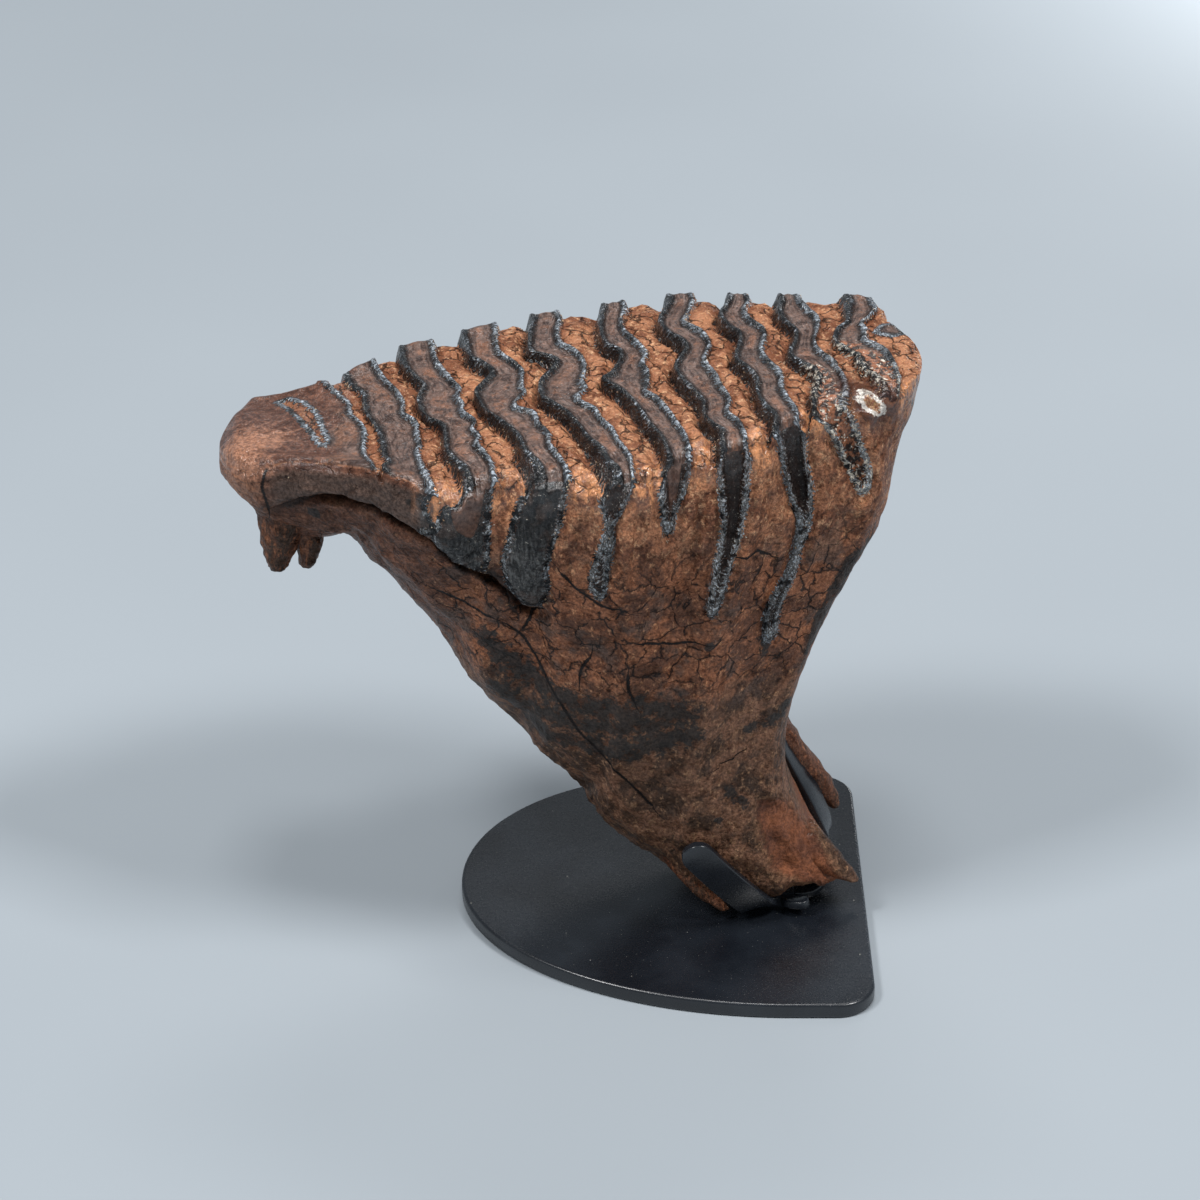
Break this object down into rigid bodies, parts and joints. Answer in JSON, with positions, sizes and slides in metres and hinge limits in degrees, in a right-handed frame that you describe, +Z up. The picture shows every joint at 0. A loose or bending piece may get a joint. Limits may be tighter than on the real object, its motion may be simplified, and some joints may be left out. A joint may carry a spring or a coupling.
{
  "type": "fossil mammoth molar on a display stand",
  "caption": "Worn fossil mammoth molar with enamel ridges across its crown, held upright over a flat D-shaped base by a low cradle of bent straps.",
  "frame": {"origin": "centre of the flat underside of the base plate", "axes": "+Z up from the base; +X along the tooth, from the overhanging worn front end to the back end above the root; +Y from the side with the tall plate ends to the other side"},
  "size_m": [0.1638, 0.1018, 0.1519],
  "materials": {
    "fossil_tooth": "mineralised brown cement and dentine with blue-black enamel bands, half gloss, cracked and stained",
    "stand_paint": "satin black paint on steel, dusty, with softly rounded edges"
  },
  "bodies": {
    "root": {"molar": "fossil_tooth", "base_plate": "stand_paint", "cradle_hub": "stand_paint", "near_strap": "stand_paint", "back_strap": "stand_paint", "front_tab": "stand_paint"}
  },
  "joints": []
}
